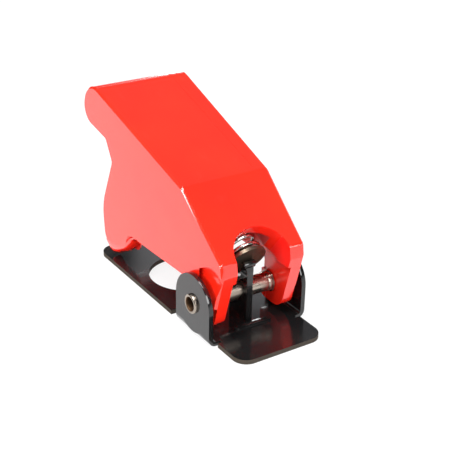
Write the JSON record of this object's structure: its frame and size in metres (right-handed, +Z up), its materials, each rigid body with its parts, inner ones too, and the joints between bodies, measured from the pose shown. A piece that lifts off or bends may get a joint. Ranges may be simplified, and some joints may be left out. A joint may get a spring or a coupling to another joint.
{
  "type": "toggle switch cover",
  "caption": "Flip-up guard for a toggle switch: a moulded cover with a finger nose, hinged on a folded steel bracket and carried over centre by a coil spring.",
  "frame": {"origin": "centre of the switch hole on the plate's underside", "axes": "+X across, along the hinge tube; +Y from the hinge to the finger nose; +Z up from the plate, where the toggle stands"},
  "size_m": [0.0178, 0.044, 0.0286],
  "materials": {
    "black_steel": "gloss",
    "tube_steel": "polished",
    "red_plastic": "gloss",
    "cap_metal": "satin",
    "spring_steel": "polished"
  },
  "bodies": {
    "bracket": {"bracket": "black_steel", "spring_post": "black_steel", "hinge_tube": "tube_steel", "collar_left": "tube_steel", "collar_right": "tube_steel"},
    "cover": {"flip_cover": "red_plastic"},
    "spring_arm": {"spring_cap": "cap_metal", "spring": "spring_steel"}
  },
  "joints": [
    {"name": "cover_hinge", "type": "hinge", "parent": "bracket", "child": "cover", "pos_m": [0, -0.0153, 0.0051], "axis": [1, 0, 0], "range_deg": [0, 79]},
    {"name": "spring_swing", "type": "hinge", "parent": "bracket", "child": "spring_arm", "pos_m": [0, -0.01698, 0.00985], "axis": [1, 0, 0], "range_deg": [0, 128], "deforming": ["spring"]}
  ],
  "couplings": [
    {"joint": "spring_swing", "follows": "cover_hinge", "ratio": 1.62}
  ]
}
